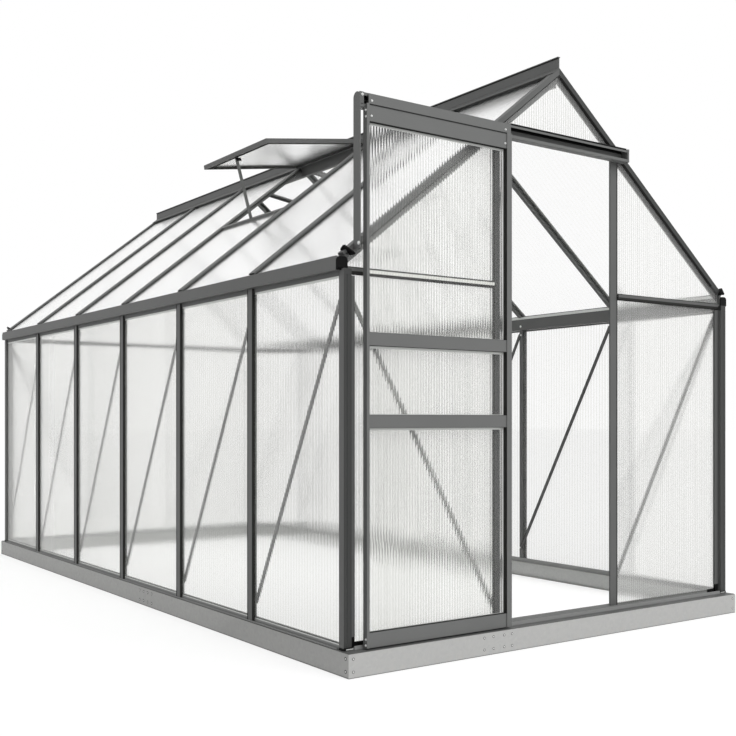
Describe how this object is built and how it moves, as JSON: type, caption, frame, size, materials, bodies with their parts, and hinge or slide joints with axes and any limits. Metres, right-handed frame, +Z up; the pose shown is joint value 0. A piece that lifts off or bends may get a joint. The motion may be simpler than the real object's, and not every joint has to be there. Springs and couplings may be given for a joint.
{
  "type": "polycarbonate greenhouse",
  "caption": "Gable-roofed hobby greenhouse with a grey aluminium bar frame, twin-wall glazing, propped roof vents and a sliding front door on a galvanised base rail.",
  "frame": {"origin": "on the ground, in the middle of the plan, at the underside of the base rail", "axes": "+Z up, +Y along the ridge from the front gable with the door to the rear gable, +X to the right across the front gable"},
  "size_m": [2.024, 3.812, 2.201],
  "materials": {
    "frame_grey": "satin dark grey powder coat",
    "galvanised": "matt light galvanised sheet",
    "black_plastic": "matt",
    "polycarbonate": "clear fluted twin-wall sheet"
  },
  "bodies": {
    "frame": {"base_front": "galvanised", "base_rear": "galvanised", "base_left": "galvanised", "base_right": "galvanised", "sill_front": "frame_grey", "sill_rear": "frame_grey", "sill_left": "frame_grey", "sill_right": "frame_grey", "corner_posts": "frame_grey", "left_wall_posts": "frame_grey", "right_wall_posts": "frame_grey", "front_door_posts": "frame_grey", "rear_gable_posts": "frame_grey", "left_gutter": "frame_grey", "right_gutter": "frame_grey", "eave_end_caps": "black_plastic", "ridge_beam": "frame_grey", "left_rafters": "frame_grey", "right_rafters": "frame_grey", "front_gable_rafters": "frame_grey", "rear_gable_rafters": "frame_grey", "front_cross_bars": "frame_grey", "rear_cross_bars": "frame_grey", "left_wall_braces": "frame_grey", "right_wall_braces": "frame_grey", "front_gable_braces": "frame_grey", "rear_gable_braces": "frame_grey", "left_wall_panels": "polycarbonate", "right_wall_panels": "polycarbonate", "left_roof_panels": "polycarbonate", "right_roof_panels": "polycarbonate", "front_gable_panels": "polycarbonate", "rear_gable_panels": "polycarbonate", "vent_frames": "frame_grey", "vent_panels": "polycarbonate", "vent_sills": "frame_grey", "vent_stays": "frame_grey", "door_track": "frame_grey", "track_strut": "frame_grey"},
    "door": {"door_stiles": "frame_grey", "door_rails": "frame_grey", "door_panels": "polycarbonate", "door_hanger": "frame_grey", "door_rollers": "black_plastic", "door_guides": "black_plastic"}
  },
  "joints": [
    {"name": "door_slide", "type": "slide", "parent": "frame", "child": "door", "axis": [1, 0, 0], "range_m": [0, 0.604]}
  ]
}
